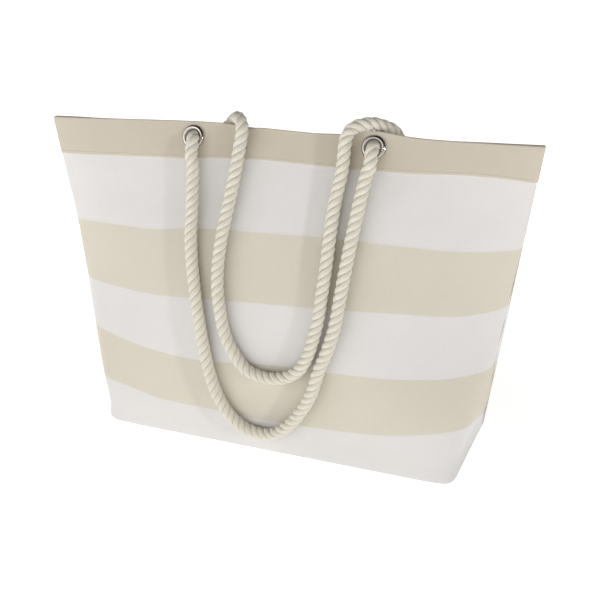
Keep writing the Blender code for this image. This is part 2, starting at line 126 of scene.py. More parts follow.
# Height of each stripe edge above the ground at some widths across a panel. The cloth
# hangs unevenly, and its lower stripes rise to the pulled-up corners.
STRIPE_WIDTHS = (-0.27, -0.20, -0.14, -0.08, 0.0, 0.08, 0.14, 0.20, 0.235, 0.27)
STRIPE_HEIGHTS = (
    (0.2400, 0.2440, 0.2445, 0.2515, 0.2530, 0.2530, 0.2500, 0.2470, 0.2478, 0.2485),
    (0.1710, 0.1730, 0.1725, 0.1755, 0.1795, 0.1810, 0.1825, 0.1815, 0.1850, 0.1895),
    (0.1200, 0.1145, 0.1065, 0.1030, 0.1100, 0.1120, 0.1130, 0.1175, 0.1220, 0.1225),
    (0.0560, 0.0555, 0.0448, 0.0422, 0.0400, 0.0425, 0.0475, 0.0595, 0.0640, 0.0590),
)
STRIPE_EDGES = (0.2, 0.4, 0.6, 0.8)   # the same edges in the "stripe" value, rim 0 to base 1
BELOW_STRIPES = 0.95

# Where each rope's middle line lies on the front wall: (across, up), left to right.
FRONT_ROPE_LIE = [
    (-0.0862, 0.3170), (-0.0850, 0.2985), (-0.0840, 0.2740), (-0.0840, 0.2485),
    (-0.0820, 0.2230), (-0.0780, 0.1920), (-0.0720, 0.1530), (-0.0645, 0.1070),
    (-0.0565, 0.0755), (-0.0450, 0.0515), (-0.0285, 0.0345), (-0.0110, 0.0280),
    (0.0075, 0.0285), (0.0245, 0.0385), (0.0415, 0.0585), (0.0570, 0.0860),
    (0.0655, 0.1145), (0.0750, 0.1400), (0.0820, 0.1670), (0.0860, 0.1975),
    (0.0895, 0.2240), (0.0940, 0.2570), (0.0990, 0.2895), (0.1040, 0.3170),
]
BACK_ROPE_LIE = [
    (-0.0345, 0.3290), (-0.0388, 0.2965), (-0.0460, 0.2535), (-0.0493, 0.2280),
    (-0.0505, 0.2015), (-0.0480, 0.1745), (-0.0400, 0.1390), (-0.0225, 0.1105),
    (-0.0065, 0.1010), (0.0120, 0.0990), (0.0305, 0.1035), (0.0455, 0.1150),
    (0.0540, 0.1315), (0.0585, 0.1455), (0.0640, 0.1720), (0.0665, 0.1975),
    (0.0690, 0.2220), (0.0710, 0.2545), (0.0735, 0.2875), (0.0785, 0.3190),
]

CAMERA_PLACE = (0.319, -0.828, 0.526)
CAMERA_YAW, CAMERA_PITCH, CAMERA_ROLL = 19.8, 22.4, -1.3   # degrees
CAMERA_LENS, CAMERA_SENSOR = 51.0, 36.0

WHITE = (0.708, 0.687, 0.667)
BEIGE = (0.645, 0.597, 0.500)
BAND_BEIGE = (0.580, 0.520, 0.425)
TAPE_BEIGE = (0.66, 0.61, 0.53)
THREAD_BEIGE = (0.56, 0.50, 0.41)
# The second rope colour is painted shade: the cotton darkened in the grooves between its strands.
COTTON, GROOVE_SHADE = (0.825, 0.780, 0.665), (0.45, 0.39, 0.31)
NICKEL_DARK, NICKEL_LIGHT = (0.36, 0.33, 0.30), (0.48, 0.45, 0.42)
THREAD_PITCH = 0.00085       # of the canvas's weave
YARN_PITCH = 0.0015          # of the rope's fine yarns

# -------------------- camera


def make_camera():
    """The photograph's view: right of the front, looking down, with a slight tilt."""
    yaw, pitch, roll = (math.radians(a) for a in (CAMERA_YAW, CAMERA_PITCH, CAMERA_ROLL))
    ahead = Vector((-math.sin(yaw) * math.cos(pitch), math.cos(yaw) * math.cos(pitch),
                    -math.sin(pitch)))
    level = Vector((math.cos(yaw), math.sin(yaw), 0.0))
    above = level.cross(ahead)
    right = level * math.cos(roll) + above * math.sin(roll)
    up = above * math.cos(roll) - level * math.sin(roll)
    data = bpy.data.cameras.new("camera")
    data.lens = CAMERA_LENS
    data.sensor_width = CAMERA_SENSOR
    camera = bpy.data.objects.new("camera", data)
    camera.matrix_world = Matrix((
        (right.x, up.x, -ahead.x, CAMERA_PLACE[0]),
        (right.y, up.y, -ahead.y, CAMERA_PLACE[1]),
        (right.z, up.z, -ahead.z, CAMERA_PLACE[2]),
        (0, 0, 0, 1),
    ))
    bpy.context.scene.collection.objects.link(camera)
    bpy.context.scene.camera = camera


# -------------------- the walls' shape


def half_depth(t):
    """Half depth of the level section, t running from 0 at the rim to 1 at the base."""
    swell = t + FULLNESS * math.sin(math.pi * t)
    return RIM_HALF_DEPTH + (BASE_HALF_DEPTH - RIM_HALF_DEPTH) * swell


def squareness(t):
    """Exponent of the section's superellipse."""
    shoulder = SHOULDER * math.sin(math.pi * t / 2) ** 2
    corner = (BASE_SQUARENESS - RIM_SQUARENESS - SHOULDER) * t ** 7
    return RIM_SQUARENESS + shoulder + corner


def quarter_section(reach, t):
    """Quarter section from the side seam to the middle of the wall, and its running length."""
    steps = 240
    angle = np.linspace(0, math.pi / 2, steps)
    power = squareness(t)
    x = reach * np.clip(np.cos(angle), 0, 1) ** (2 / power)
    y = SEAM_HALF + (half_depth(t) - SEAM_HALF) * np.sin(angle) ** (2 / power)
    x, y = np.r_[reach, x], np.r_[0.0, y]
    run = np.r_[0.0, np.cumsum(np.hypot(np.diff(x), np.diff(y)))]
    return x, y, run


_widths = {}


def half_width(t):
    """Half width that makes the girth two panel widths, less what a panel loses there."""
    if t not in _widths:
        lost = PANEL_TAPER * t + BASE_DRAW * t ** 7
        low, high = 0.1, 0.3
        for _ in range(30):
            middle = (low + high) / 2
            length = quarter_section(middle, t)[2][-1]
            if length > PANEL_WIDTH / 2 * (1 - lost):
                high = middle
            else:
                low = middle
        _widths[t] = low
    return _widths[t]


def seam_reach(z):
    """Distance of a side seam from the bag's middle; it runs straight down to its foot."""
    share = (RIM_HEIGHT - z) / (RIM_HEIGHT - CORNER_LIFT)
    return half_width(0.0) + (SEAM_FOOT - half_width(0.0)) * share


def corner_shift(x, y, t):
    """Shift of the section's points at t: the boxed corner's pull, and the skew."""
    reach = np.clip((np.abs(x) / half_width(t) - 0.5) / 0.5, 0, 1)
    pull = reach ** 4 * np.clip(1 - np.abs(y) / half_depth(t), 0, 1)
    rise = CORNER_LIFT * t ** 6
    spread = seam_reach(RIM_HEIGHT * (1 - t) + rise) - half_width(t)
    return np.stack([np.sign(x) * spread * pull, -BASE_SKEW * x * t ** 2, rise * pull], axis=-1)


def section_place(t, widths):
    """Places on the level section at cloth widths from the wall's middle."""
    x, y, run = quarter_section(half_width(t), t)
    target = run[-1] * (1 - np.abs(widths) / (PANEL_WIDTH / 2))
    return np.interp(target, run, x) * np.sign(widths), np.interp(target, run, y)


def rim_shift(side, x, t):
    """How far the cloth hangs above or below its even height, fading out down the wall."""
    lift = np.interp(x, RIM_LINE[:, 0], RIM_LINE[:, 1])
    if side == BACK:
        lift = lift - BACK_RIM_SAG * (1 - (x / (PANEL_WIDTH / 2)) ** 2)
    return lift * (1 - t) ** 2


def rope_press(side, x):
    """Share, 0 to 1, of the dent that the back rope's weight makes in each rim."""
    places = FORE_BEND if side == FRONT else REAR_BEND
    return sum(np.exp(-((x - place[0]) / DENT_REACH) ** 2) for place in places.values())


def wall_grid(side, levels, widths):
    """Points of a panel's outer face, a row for each level and a column for each cloth width."""
    rows = []
    widths = np.asarray(widths)
    for t in levels:
        x, y = section_place(t, widths)
        z = np.full(len(widths), RIM_HEIGHT * (1 - t))
        row = np.stack([x, side * y, z], axis=-1) + corner_shift(x, side * y, t)
        pressed = rope_press(side, x) * (1 - t) ** 8
        row[:, 2] += rim_shift(side, x, t) - RIM_DENT * pressed
        if side == BACK:
            row[:, 1] -= BACK_PINCH * pressed
        rows.append(row)
    return np.array(rows)


def grid_normals(grid, side):
    """Unit normals of a grid of points, out of the bag where the grid is that side's wall."""
    down = np.gradient(grid, axis=0)
    across = np.gradient(grid, axis=1)
    normal = np.cross(across, down) * side
    return normal / np.maximum(np.linalg.norm(normal, axis=2, keepdims=True), 1e-9)


def facing_out(normals, side, row):
    """A strip's normals, turned over if this row's middle one points into the bag."""
    middle = normals.shape[1] // 2
    return -normals if normals[row, middle, 1] * side < 0 else normals


def wall_point(side, x, z, away=0.0):
    """Point off the wall's outer face at a given x and z, and the wall's normal there."""

    def face_y(px, pz):
        t = 1 - pz / RIM_HEIGHT
        power = squareness(t)
        reach = min(abs(px) / half_width(round(t, 6)), 1.0)
        share = (1 - reach ** power) ** (1 / power)
        depth = SEAM_HALF + (half_depth(t) - SEAM_HALF) * share
        return side * depth - BASE_SKEW * px * t ** 2

    step = 0.0005
    y = face_y(x, z)
    slope_x = (face_y(x + step, z) - face_y(x - step, z)) / (2 * step)
    slope_z = (y - face_y(x, z - step)) / step
    normal = side * Vector((-slope_x, 1.0, -slope_z)).normalized()
    return Vector((x, y, z)) + normal * away, normal


def cloth_point(side, x, z, away=0.0):
    """The same as wall_point, on the cloth as it hangs."""
    lift = float(rim_shift(side, x, 1 - z / RIM_HEIGHT))
    point, normal = wall_point(side, x, z - lift, away)
    return point + Vector((0, 0, lift)), normal


def wave(x, y, z):
    """Smooth noise, about -1 to 1, the same in every run."""
    return noise.noise(Vector((x, y, z)))


def rim_ripple(w, side):
    """Slow ripple of the rim, in and out together with its band."""
    slow, quick = wave(w * 24, 3.1, side * 5.7), wave(w * 60, 8.3, side * 2.9)
    return 0.0007 * slow + 0.0004 * quick


def canvas_relief(side, w, t):
    """How far the cloth stands off its smooth shape: slow dents and faint creases."""
    dent_depth, crease_depth, sink = 0.0016, 0.0007, 0.0008
    below_band, above_base, ripple_end = 0.2, 0.06, 0.35
    calm = min(t / below_band, 1.0) * min((1 - t) / above_base, 1.0)
    dent = dent_depth * wave(w * 11 + 2.0, t * 4.3, side * 3.3)
    crease = crease_depth * wave(w * 34 + t * 6, t * 9, 7.7 + side)
    near_rim = rim_ripple(w, side) * max(1 - t / ripple_end, 0.0)
    return (dent + crease - sink) * calm + near_rim


# -------------------- mesh helpers


def add_mesh(name, verts, faces, mat):
    """Smooth-shaded object from points and faces, in one material."""
    mesh = bpy.data.meshes.new(name)
    mesh.from_pydata(np.asarray(verts, float).reshape(-1, 3).tolist(), [], faces)
    mesh.shade_smooth()
    mesh.materials.append(mat)
    obj = bpy.data.objects.new(name, mesh)
    bpy.context.scene.collection.objects.link(obj)
    return obj


def set_uv(mesh, coordinates):
    """One UV map from each vertex's (u, v)."""
    layer = mesh.uv_layers.new(name="cloth")
    index = np.empty(len(mesh.loops), np.int32)
    mesh.loops.foreach_get("vertex_index", index)
    layer.data.foreach_set("uv", np.asarray(coordinates, np.float32)[index].ravel())


def set_value(mesh, name, values):
    """A number on each vertex, for a material to read by its name."""
    attribute = mesh.attributes.new(name, "FLOAT", "POINT")
    attribute.data.foreach_set("value", np.asarray(values, np.float32))


def tube_faces(rings, count, first=0):
    """Faces of a closed tube: rings of this many points each, and its two ends."""
    faces = []
    for low in range(first, first + (rings - 1) * count, count):
        for k in range(count):
            after = (k + 1) % count
            faces.append((low + k, low + after, low + count + after, low + count + k))
    last = first + (rings - 1) * count
    faces.append(tuple(first + k for k in reversed(range(count))))
    faces.append(tuple(last + k for k in range(count)))
    return faces


def shell(name, outer, inner, mat, us, vs, stripe=None, flip=False):
    """Closed cloth between two grids, with its coordinates along the cloth in metres."""
    rows, columns = outer.shape[:2]
    layer = rows * columns
    verts = np.concatenate([outer.reshape(-1, 3), inner.reshape(-1, 3)])
    faces = []
    for r in range(rows - 1):
        for c in range(columns - 1):
            a = r * columns + c
            quad = (a, a + 1, a + columns + 1, a + columns)
            faces.append(quad)
            faces.append(tuple(layer + k for k in reversed(quad)))
    edge = list(range(columns))
    edge += [r * columns + columns - 1 for r in range(1, rows)]
    edge += [(rows - 1) * columns + c for c in range(columns - 2, -1, -1)]
    edge += [r * columns for r in range(rows - 2, 0, -1)]
    for here, after in zip(edge, edge[1:] + edge[:1]):
        faces.append((after, here, layer + here, layer + after))
    if flip:
        faces = [tuple(reversed(face)) for face in faces]
    obj = add_mesh(name, verts, faces, mat)
    uv = np.stack(np.broadcast_arrays(np.asarray(us)[None, :], np.asarray(vs)[:, None]), -1)
    set_uv(obj.data, np.tile(uv.reshape(-1, 2), (2, 1)))
    if stripe is not None:
        set_value(obj.data, "stripe", np.tile(stripe.ravel(), 2))
    obj.data.set_sharp_from_angle(angle=math.radians(50))
    return obj


def smooth_route(points, spacing, rounds):
    """Even points on a smooth curve through the route's own points, then eased."""
    points = [Vector(p) for p in points]
    ends = [2 * points[0] - points[1]] + points + [2 * points[-1] - points[-2]]
    dense = []
    steps = 24
    for a, b, c, d in zip(ends, ends[1:], ends[2:], ends[3:]):
        for step in range(steps):
            s = step / steps
            dense.append(0.5 * (
                2 * b + (c - a) * s + (2 * a - 5 * b + 4 * c - d) * s * s
                + (3 * b - a - 3 * c + d) * s ** 3
            ))
    dense.append(points[-1])
    line = resampled(np.array(dense), spacing)
    for _ in range(rounds):
        line[1:-1] += 0.5 * ((line[:-2] + line[2:]) / 2 - line[1:-1])
    return resampled(line, spacing)


def run_along(line):
    """Distance along a line at each of its points."""
    return np.r_[0.0, np.cumsum(np.linalg.norm(np.diff(line, axis=0), axis=1))]


def resampled(line, spacing):
    """Even points along a line, as near to this spacing as whole steps allow."""
    run = run_along(line)
    at = np.linspace(0, run[-1], max(int(round(run[-1] / spacing)), 2) + 1)
    return np.stack([np.interp(at, run, line[:, k]) for k in range(3)], axis=1)


def eased_line(places, values):
    """Smooth line through (place, value) pairs; its first two columns are place and value."""
    points = [(place, value, 0) for place, value in zip(places, values)]
    return smooth_route(points, spacing=0.004, rounds=6)


RIM_LINE = eased_line(RIM_PLACES, RIM_LIFTS)
BAND_LINE = eased_line(BAND_PLACES, BAND_HEIGHTS)


def line_frames(line):
    """Two directions across a line at each point, carried along it without twisting."""
    ahead = np.gradient(line, axis=0)
    ahead /= np.linalg.norm(ahead, axis=1, keepdims=True)
    first = np.cross(ahead[0], [0.3, 0.2, 1.0])
    across = [first / np.linalg.norm(first)]
    for direction in ahead[1:]:
        carried = across[-1] - direction * (across[-1] @ direction)
        across.append(carried / np.linalg.norm(carried))
    across = np.array(across)
    return across, np.cross(ahead, across)


# -------------------- materials


class Nodes:
    """The nodes of a material or a world, with short calls for the kinds in use."""

    def __init__(self, owner):
        owner.use_nodes = True
        self.owner, self.tree = owner, owner.node_tree
        self.shader = self.tree.nodes.get("Principled BSDF")

    def node(self, kind, **settings):
        made = self.tree.nodes.new(kind)
        for key, value in settings.items():
            setattr(made, key, value)
        return made

    def link(self, source, target):
        self.tree.links.new(source, target)

    def put(self, value, socket):
        if isinstance(value, bpy.types.NodeSocket):
            self.link(value, socket)
        else:
            socket.default_value = value

    def math(self, operation, a, b=0.0, c=0.0):
        made = self.node("ShaderNodeMath", operation=operation)
        for socket, value in zip(made.inputs, (a, b, c)):
            self.put(value, socket)
        return made.outputs[0]

    def mix(self, factor, a, b, blend="MIX"):
        made = self.node("ShaderNodeMix", data_type="RGBA", blend_type=blend)
        self.put(factor, made.inputs["Factor"])
        for colour, socket in zip((a, b), made.inputs[6:8]):
            linked = isinstance(colour, bpy.types.NodeSocket)
            self.put(colour if linked else (*colour, 1.0), socket)
        return made.outputs[2]

    def noise(self, vector, scale, detail=2.0, roughness=0.5):
        made = self.node("ShaderNodeTexNoise")
        self.link(vector, made.inputs["Vector"])
        made.inputs["Scale"].default_value = scale
        made.inputs["Detail"].default_value = detail
        made.inputs["Roughness"].default_value = roughness
        return made.outputs[0]

    def scaled(self, vector, scale):
        made = self.node("ShaderNodeMapping")
        self.link(vector, made.inputs["Vector"])
        made.inputs["Scale"].default_value = scale
        return made.outputs[0]

    def bump(self, height, distance, strength):
        made = self.node("ShaderNodeBump")
        made.inputs["Distance"].default_value = distance
        made.inputs["Strength"].default_value = strength
        self.link(height, made.inputs["Height"])
        return made.outputs[0]

    def parts(self, vector):
        made = self.node("ShaderNodeSeparateXYZ")
        self.link(vector, made.inputs[0])
        return made.outputs

    def ramp(self, source, stops):
        """Grey ramp through rising (position, grey) stops."""
        made = self.node("ShaderNodeValToRGB")
        self.link(source, made.inputs[0])
        marks = made.color_ramp.elements
        for _ in stops[2:]:
            marks.new(1.0)
        for mark, (position, grey) in zip(marks, stops):
            mark.position = position
            mark.color = (grey, grey, grey, 1)
        return made.outputs[0]

    def value(self, name):
        return self.node("ShaderNodeAttribute", attribute_name=name).outputs["Fac"]

    def grey(self, shade):
        made = self.node("ShaderNodeCombineColor")
        for socket in made.inputs[:3]:
            self.link(shade, socket)
        return made.outputs[0]

    def finish(self, **values):
        """Fills the shader's sockets, _ standing for a space, and gives the material."""
        for name, value in values.items():
            self.put(value, self.shader.inputs[name.replace("_", " ")])
        return self.owner


def weave_height(n, uv, pitch):
    """Plain weave: threads go over and under each other at this pitch."""
    across, along = n.parts(uv)[:2]
    turn = math.pi / pitch
    warp = n.math("SINE", n.math("MULTIPLY", across, turn))
    weft = n.math("SINE", n.math("MULTIPLY", along, turn))
    over = n.math("MULTIPLY", warp, weft)
    ribs = n.math("ADD", n.math("ABSOLUTE", warp), n.math("ABSOLUTE", weft))
    return n.math("MULTIPLY_ADD", over, 0.5, n.math("MULTIPLY", ribs, 0.35))


def stripe_mask(n, uv):
    """White where the 'stripe' value lies in a stripe, with edges as ragged as the threads."""
    edge_half, raggedness = 0.0010, 0.0016
    ragged = n.math("SUBTRACT", n.noise(n.scaled(uv, (1400, 350, 1)), 1.0, 1.0), 0.5)
    place = n.math("MULTIPLY_ADD", ragged, raggedness, n.value("stripe"))
    stops, grey = [(0.0, 0)], 0
    for edge in STRIPE_EDGES:
        stops += [(edge - edge_half, grey), (edge + edge_half, 1 - grey)]
        grey = 1 - grey
    return n.ramp(place, stops + [(1.0, 0)])


def canvas_material(name, ground, stripe=None):
    """Woven cotton canvas; with a stripe colour, its stripes follow the 'stripe' value."""
    n = Nodes(bpy.data.materials.new(name))
    uv = n.node("ShaderNodeUVMap", uv_map="cloth").outputs[0]
    if stripe is None:
        held = n.node("ShaderNodeRGB")
        held.outputs[0].default_value = (*ground, 1.0)
        colour = held.outputs[0]
    else:
        colour = n.mix(stripe_mask(n, uv), ground, stripe)
    warp = n.noise(n.scaled(uv, (900, 60, 1)), 1.0, 2.0)
    weft = n.noise(n.scaled(uv, (60, 900, 1)), 1.0, 2.0)
    slub = n.math("ADD", warp, weft)
    patch = n.noise(n.scaled(uv, (14, 14, 1)), 1.0, 3.0)
    shade = n.math("MULTIPLY_ADD", slub, 0.05, 0.95)
    shade = n.math("MULTIPLY_ADD", n.math("SUBTRACT", patch, 0.5), 0.05, shade)
    height = n.math("ADD", weave_height(n, uv, THREAD_PITCH), n.math("MULTIPLY", slub, 0.9))
    return n.finish(Base_Color=n.mix(1.0, colour, n.grey(shade), "MULTIPLY"),
                    Normal=n.bump(height, 0.00014, 0.45), Roughness=0.88, Sheen_Weight=0.12,
                    Sheen_Roughness=0.5, Specular_IOR_Level=0.25)


def rope_material(name):
    """Soft twisted cotton: fine yarns over each strand, loose fibres, and painted shade in the
    grooves between strands.
    """
    n = Nodes(bpy.data.materials.new(name))
    uv = n.node("ShaderNodeUVMap", uv_map="cloth").outputs[0]
    around, along = n.parts(uv)[:2]
    wobble = n.noise(n.scaled(uv, (160, 160, 1)), 1.0, 2.0)
    phase = n.math("MULTIPLY_ADD", along, 0.35, around)
    phase = n.math("MULTIPLY_ADD", wobble, 0.0012, phase)
    yarn = n.math("SINE", n.math("MULTIPLY", phase, 2 * math.pi / YARN_PITCH))
    fibre = n.noise(n.scaled(uv, (2400, 700, 1)), 1.0, 4.0, 0.65)
    patch = n.noise(n.scaled(uv, (45, 45, 1)), 1.0, 2.0)
    shade = n.math("MULTIPLY_ADD", yarn, 0.018, 0.93)
    shade = n.math("MULTIPLY_ADD", fibre, 0.24, n.math("SUBTRACT", shade, 0.08))
    shade = n.math("MULTIPLY_ADD", n.math("SUBTRACT", patch, 0.5), 0.07, shade)
    # Painted shade: the cotton turns darker towards the bottom of each groove between the strands.
    base = n.mix(n.value("groove_shade"), COTTON, GROOVE_SHADE)
    height = n.math("MULTIPLY_ADD", yarn, 0.35, fibre)
    return n.finish(Base_Color=n.mix(1.0, base, n.grey(shade), "MULTIPLY"),
                    Normal=n.bump(height, 0.0005, 0.8), Roughness=0.95, Sheen_Weight=0.2,
                    Sheen_Roughness=0.5, Specular_IOR_Level=0.2)


def thread_material(name, colour):
    """Sewing thread, a little uneven in its shade."""
    n = Nodes(bpy.data.materials.new(name))
    place = n.node("ShaderNodeTexCoord").outputs["Object"]
    fine = n.noise(place, 900.0, 2.0)
    darker = tuple(c * 0.88 for c in colour)
    return n.finish(Base_Color=n.mix(fine, darker, colour), Roughness=0.7)


def nickel_material(name):
    """Polished nickel plate with faint rubbing marks."""
    n = Nodes(bpy.data.materials.new(name))
    place = n.node("ShaderNodeTexCoord").outputs["Object"]
    rub = n.noise(n.scaled(place, (700, 90, 700)), 1.0, 3.0)
    cloud = n.noise(place, 120.0, 2.0)
    return n.finish(Base_Color=n.mix(cloud, NICKEL_DARK, NICKEL_LIGHT), Metallic=1.0,
                    Roughness=n.math("MULTIPLY_ADD", rub, 0.12, 0.08),
                    Normal=n.bump(rub, 0.00004, 0.4))


# -------------------- ropes


def eyelet_places(side):
    """Each eyelet's middle on the cloth and the cloth's normal there, by hand."""
    places = {}
    for hand, word in HANDS:
        x = EYELET_SHIFT[side] + hand * EYELET_SPACING / 2
        height = RIM_HEIGHT - EYELET_DROP + float(rim_shift(side, x, EYELET_DROP / RIM_HEIGHT))
        places[word] = cloth_point(side, x, height)
    return places


def front_pivot(word):
    """The front rope's bend outside an eyelet, where it turns down to the wall."""
    closer, lower = 0.0022, 0.0042
    sideways = 0.0030 if word == "left" else 0.0
    centre, normal = eyelet_places(FRONT)[word]
    return centre + normal * (PIVOT_RISE - closer) + Vector((sideways, 0.0, -lower))


def lying(places):
    """Rope centres on the front wall, and on the rim band in its height."""
    step_down = 0.010        # a rope bridges the band's foot over this height
    band_reach = RIM_HEIGHT - BAND_HEIGHT - step_down
    points = []
    for x, z in places:
        away = ROPE_RADIUS + ROPE_REST + (BAND_OUTSIDE if z > band_reach else 0.0)
        points.append(cloth_point(FRONT, x, z, away)[0])
    return points


def knotted_tail(centre, normal, spread):
    """Rope inside the bag, from its tail's end through the knot up to the eyelet."""
    inward = -normal
    mouth = centre + inward * 0.006
    turn = centre + inward * 0.0125 + Vector((spread * 0.15, 0, -0.0035))
    neck = Vector((centre.x + spread * 0.5, turn.y * 0.35, centre.z - 0.0170))
    knot = Vector((centre.x + spread, 0.0, centre.z - 0.0360))
    tail = knot + Vector((spread * 0.35, 0, -0.0270))
    return [tail, knot, neck, turn, mouth]


def front_route():
    """The front rope's whole line, tail to tail, and its two knots' places."""
    lead_length, lead_lean = 0.0160, Vector((0, -0.0018, 0))
    parts = {}
    for word, (centre, normal) in eyelet_places(FRONT).items():
        inside = knotted_tail(centre, normal, -KNOT_SPREAD)
        parts[word] = inside + [centre + normal * 0.003, front_pivot(word)]
    left = front_pivot("left")
    down = wall_point(FRONT, left.x, left.z)[1].cross(Vector((-1, 0, 0))).normalized()
    lead = down * lead_length + lead_lean
    loop = [front_pivot("left") + lead] + lying(FRONT_ROPE_LIE) + [front_pivot("right") + lead]
    route = parts["left"] + loop + list(reversed(parts["right"]))
    return route, [parts["left"][1], parts["right"][1]]


def back_route():
    """The back rope's whole line, tail to tail, and its two knots' places."""
    parts = {}
    for word, (centre, normal) in eyelet_places(BACK).items():
        inside = knotted_tail(centre, normal, KNOT_SPREAD)
        rear, crest, fore = Vector(REAR_BEND[word]), Vector(CREST[word]), Vector(FORE_BEND[word])
        lead = centre + normal * 0.0098
        sideways = rear.x - centre.x
        over = [
            centre + normal * 0.004,
            lead + Vector((sideways * 0.12, 0, 0.0035)),
            lead + Vector((sideways * 0.58, -0.0014, 0.0110)),
            rear, crest, fore,
        ]
        parts[word] = inside + over
    route = parts["left"] + lying(BACK_ROPE_LIE) + list(reversed(parts["right"]))
    return route, [parts["left"][1], parts["right"][1]]


def strand_profile():
    """Outline of three strands laid together: (angle, radius share, groove share), the last for
    painted shade.
    """
    off_axis, strand, steps = 0.30, 0.70, 7
    outline = []
    for lobe in range(3):
        for step in range(-steps, steps + 1):
            if step == -steps and lobe > 0:
                continue
            share = step / steps
            swing = math.radians(60) * (1 - (1 - abs(share)) ** 1.35)
            angle = swing * (1 if share >= 0 else -1)
            radius = off_axis * math.cos(angle) + math.sqrt(
                strand ** 2 - (off_axis * math.sin(angle)) ** 2
            )
            outline.append((angle + lobe * 2 * math.pi / 3, radius, abs(share)))
    return outline[:-1]


def rope_piece(name, line, across, third, run, first, last, mat):
    """Three-strand rope from one point of its line to another, closed at both ends."""
    unevenness, groove_narrowness = 0.035, 7
    profile = strand_profile()
    verts, uv, groove_shade = [], [], []
    for i in range(first, last + 1):
        turn = 2 * math.pi * run[i] / ROPE_LAY
        for angle, radius, deep in profile:
            phi = angle + turn
            spoke = across[i] * math.cos(phi) + third[i] * math.sin(phi)
            fuzz = 1 + unevenness * wave(run[i] * 700, phi * 4.0, 1.7)
            verts.append(line[i] + spoke * (ROPE_RADIUS * radius * fuzz))
            uv.append((phi * ROPE_RADIUS, run[i]))
            # Share of painted groove shade, strongest where two strands meet.
            groove_shade.append(deep ** groove_narrowness)
    obj = add_mesh(name, verts, tube_faces(last - first + 1, len(profile)), mat)
    set_uv(obj.data, uv)
    set_value(obj.data, "groove_shade", groove_shade)
    return obj


def knot_piece(name, centre, mat, hand):
    """Overhand knot: a stretch of rope in a trefoil, left a little open."""
    size, depth, spacing = 0.0048, 0.0062, 0.0014
    opening, first_angle, steps = 0.94, 0.35, 60
    points = []
    for step in range(steps + 1):
        a = 2 * math.pi * (step / steps) * opening + first_angle
        points.append(Vector((
            (math.sin(a) + 2 * math.sin(2 * a)) * size * hand,
            -math.sin(3 * a) * depth,
            (math.cos(a) - 2 * math.cos(2 * a)) * size,
        )) + centre)
    line = resampled(np.array(points), spacing)
    across, third = line_frames(line)
    run = np.arange(len(line)) * spacing
    return rope_piece(name, line, across, third, run, 0, len(line) - 1, mat)


def nearest_index(line, point):
    """Index of the line's point that is nearest to this one."""
    return int(np.argmin(np.linalg.norm(line - np.array(point), axis=1)))


def rope_cuts(side, line):
    """Where a rope is cut into its three pieces: in the front eyelets, or on the rim."""
    if side == BACK:
        places = [CREST[word] for word in ("left", "right")]
    else:
        places = [centre + normal * 0.001 for centre, normal in eyelet_places(FRONT).values()]
    return [nearest_index(line, place) for place in places]


def make_rope(side, route, knots, cotton):
    """One rope as its loop, its two ends and their knots."""
    spacing = 0.0012
    name = SIDE_NAME[side] + "_rope_"
    line = smooth_route(route, spacing, rounds=10)
    across, third = line_frames(line)
    run = np.arange(len(line)) * spacing
    cuts = rope_cuts(side, line)
    spans = {"left": (0, cuts[0]), "right": (cuts[1], len(line) - 1)}
    short_pieces = []
    for word, place in zip(("left", "right"), knots):
        knot = knot_piece(name + "knot_" + word, place, cotton, side)
        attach(knot, "bag")
        first, last = spans[word]
        end = rope_piece(name + word, line, across, third, run, first, last, cotton)
        if side == FRONT:
            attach(end, "bag")
            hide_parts("front_rope_end_" + word)
            short_pieces += [end, knot]
        else:
            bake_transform(end)
            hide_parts("back_rope_end_" + word, "back_rope_over_rim_" + word)
    loop = rope_piece(name + "loop", line, across, third, run, cuts[0], cuts[1], cotton)
    if side == FRONT:
        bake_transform(loop)
    else:
        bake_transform(loop)
    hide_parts(SIDE_NAME[side] + "_handle_rope")


def make_ropes():
    """Both ropes, in one material."""
    cotton = rope_material("cotton_rope")
    make_rope(FRONT, *front_route(), cotton)
    make_rope(BACK, *back_route(), cotton)


# -------------------- canvas


def column_widths(count):
    """Even cloth widths across a panel, from its left edge to its right one."""
    return np.linspace(-PANEL_EDGE, PANEL_EDGE, count + 1)


def relief_grid(side, levels, widths):
    """The cloth's relief, a row for each level and a column for each width."""
    return np.array([[canvas_relief(side, w, t) for w in widths] for t in levels])


def bottom_tuck(levels):
    """How far the wall turns in at its bottom fold, for each level."""
    tuck = []
    for t in levels:
        left = max(BOTTOM_FOLD - RIM_HEIGHT * (1 - t), 0.0)
        tuck.append(BOTTOM_FOLD - math.sqrt(max(BOTTOM_FOLD ** 2 - left ** 2, 0.0)))
    return np.array(tuck)


def stripe_places(grid, widths):
    """Each point's place among the stripes, from its height between their edges."""
    marks = (0.0, *STRIPE_EDGES, 1.0)
    highest = RIM_HEIGHT + 0.004
    edges = []
    for heights in STRIPE_HEIGHTS:
        line = eased_line(STRIPE_WIDTHS, heights)
        edges.append(np.interp(widths, line[:, 0], line[:, 1]))
    places = np.empty(grid.shape[:2])
    for column in range(len(widths)):
        heights = [0.0] + [edge[column] for edge in reversed(edges)] + [highest]
        places[:, column] = 1 - np.interp(grid[:, column, 2], heights, marks)
    return places


def make_panel(side, mat):
    """One wall of canvas from the rim to the bottom fold."""
    name = SIDE_NAME[side] + "_canvas"
    widths = column_widths(180)
    levels = np.r_[np.linspace(0, 0.985, 118), np.linspace(0.9865, 1.0, 9)]
    grid = wall_grid(side, levels, widths)
    normal = grid_normals(grid, side)
    relief = relief_grid(side, levels, widths) - bottom_tuck(levels)[:, None]
    outer = grid + normal * relief[..., None]
    inner = grid + normal * (relief - CANVAS)[..., None]
    inner[..., 2] = np.maximum(inner[..., 2], outer[..., 2].min())
    panel = shell(name, outer, inner, mat, widths, levels * WALL_LENGTH,
                  stripe_places(grid, widths), flip=side == FRONT)
    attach(panel, "bag")
    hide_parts(SIDE_NAME[side] + "_panel")


